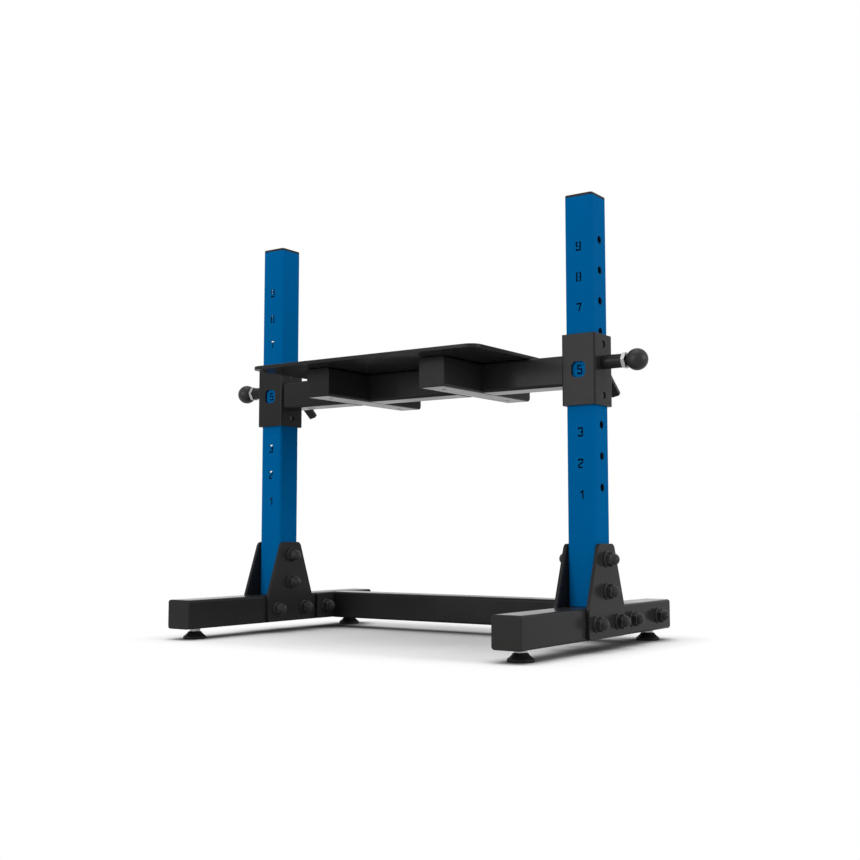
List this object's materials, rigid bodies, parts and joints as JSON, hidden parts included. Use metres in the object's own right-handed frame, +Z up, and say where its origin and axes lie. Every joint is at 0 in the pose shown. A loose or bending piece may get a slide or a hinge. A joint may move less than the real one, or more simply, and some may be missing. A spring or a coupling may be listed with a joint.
{
  "type": "adjustable step-up platform",
  "caption": "Free-standing step-up platform: a flat plate on a beam slides up and down numbered square posts, held by sprung pull pins and clamp levers.",
  "frame": {"origin": "on the floor, under the middle of the stand", "axes": "+X to the right along the beam, +Y to the back where the crossbar is, +Z up"},
  "size_m": [0.8716, 0.51, 0.7303],
  "materials": {
    "black_powder_coat": "fine-grained satin black powder coat",
    "blue_powder_coat": "fine-grained satin blue powder coat",
    "zinc_plate": "bright zinc plate",
    "bright_steel": "turned bright steel",
    "spring_steel": "plain spring wire",
    "black_fixings": "satin black domed bolt ends",
    "plug_plastic": "matte black moulded plastic",
    "knob_plastic": "satin black moulded ball",
    "liner_plastic": "matte black bearing plastic",
    "foot_plastic": "matte black moulded pad"
  },
  "bodies": {
    "frame": {"crossbar": "black_powder_coat", "foot_rail_left": "black_powder_coat", "upright_left": "blue_powder_coat", "upright_cap_left": "plug_plastic", "gusset_left_outer": "black_powder_coat", "gusset_left_inner": "black_powder_coat", "bolt_upright_upper_left": "black_fixings", "bolt_upright_lower_left": "black_fixings", "bolt_rail_front_left": "black_fixings", "bolt_rail_rear_left": "black_fixings", "bolt_flange_front_left": "black_fixings", "bolt_flange_rear_left": "black_fixings", "rail_end_cap_left_front": "plug_plastic", "levelling_nut_left_front": "zinc_plate", "rail_end_cap_left_rear": "plug_plastic", "levelling_nut_left_rear": "zinc_plate", "foot_rail_right": "black_powder_coat", "upright_right": "blue_powder_coat", "upright_cap_right": "plug_plastic", "gusset_right_outer": "black_powder_coat", "gusset_right_inner": "black_powder_coat", "bolt_upright_upper_right": "black_fixings", "bolt_upright_lower_right": "black_fixings", "bolt_rail_front_right": "black_fixings", "bolt_rail_rear_right": "black_fixings", "bolt_flange_front_right": "black_fixings", "bolt_flange_rear_right": "black_fixings", "rail_end_cap_right_front": "plug_plastic", "levelling_nut_right_front": "zinc_plate", "rail_end_cap_right_rear": "plug_plastic", "levelling_nut_right_rear": "zinc_plate"},
    "carriage": {"platform_plate": "black_powder_coat", "beam_left": "black_powder_coat", "beam_middle": "black_powder_coat", "beam_right": "black_powder_coat", "sleeve_left": "black_powder_coat", "joist_left": "black_powder_coat", "liner_left": "liner_plastic", "pin_housing_left": "black_powder_coat", "housing_nut_left": "zinc_plate", "pin_spring_left": "spring_steel", "sleeve_right": "black_powder_coat", "joist_right": "black_powder_coat", "liner_right": "liner_plastic", "pin_housing_right": "black_powder_coat", "housing_nut_right": "zinc_plate", "pin_spring_right": "spring_steel"},
    "pin_left": {"pull_pin_left": "bright_steel", "ball_knob_left": "knob_plastic"},
    "pin_right": {"pull_pin_right": "bright_steel", "ball_knob_right": "knob_plastic"},
    "lever_left": {"clamp_lever_left": "plug_plastic", "clamp_screw_left": "bright_steel"},
    "lever_right": {"clamp_lever_right": "plug_plastic", "clamp_screw_right": "bright_steel"},
    "foot_left_front": {"levelling_foot_left_front": "foot_plastic"},
    "foot_left_rear": {"levelling_foot_left_rear": "foot_plastic"},
    "foot_right_front": {"levelling_foot_right_front": "foot_plastic"},
    "foot_right_rear": {"levelling_foot_right_rear": "foot_plastic"}
  },
  "joints": [
    {"name": "platform_height", "type": "slide", "parent": "frame", "child": "carriage", "axis": [0, 0, 1], "range_m": [-0.2, 0.2]},
    {"name": "pull_pin_left", "type": "slide", "parent": "carriage", "child": "pin_left", "axis": [-1, 0, 0], "range_m": [0, 0.012], "stiffness_N_per_m": 600, "springref_m": -0.015},
    {"name": "clamp_lever_left", "type": "hinge", "parent": "carriage", "child": "lever_left", "pos_m": [-0.33, 0.0386, 0.4495], "axis": [0, 1, 0], "range_deg": [0, 90]},
    {"name": "pull_pin_right", "type": "slide", "parent": "carriage", "child": "pin_right", "axis": [1, 0, 0], "range_m": [0, 0.012], "stiffness_N_per_m": 600, "springref_m": -0.015},
    {"name": "clamp_lever_right", "type": "hinge", "parent": "carriage", "child": "lever_right", "pos_m": [0.33, 0.0386, 0.4495], "axis": [0, 1, 0], "range_deg": [0, 90]},
    {"name": "levelling_left_front", "type": "slide", "parent": "frame", "child": "foot_left_front", "axis": [0, 0, -1], "range_m": [0, 0.01]},
    {"name": "levelling_left_rear", "type": "slide", "parent": "frame", "child": "foot_left_rear", "axis": [0, 0, -1], "range_m": [0, 0.01]},
    {"name": "levelling_right_front", "type": "slide", "parent": "frame", "child": "foot_right_front", "axis": [0, 0, -1], "range_m": [0, 0.01]},
    {"name": "levelling_right_rear", "type": "slide", "parent": "frame", "child": "foot_right_rear", "axis": [0, 0, -1], "range_m": [0, 0.01]}
  ]
}
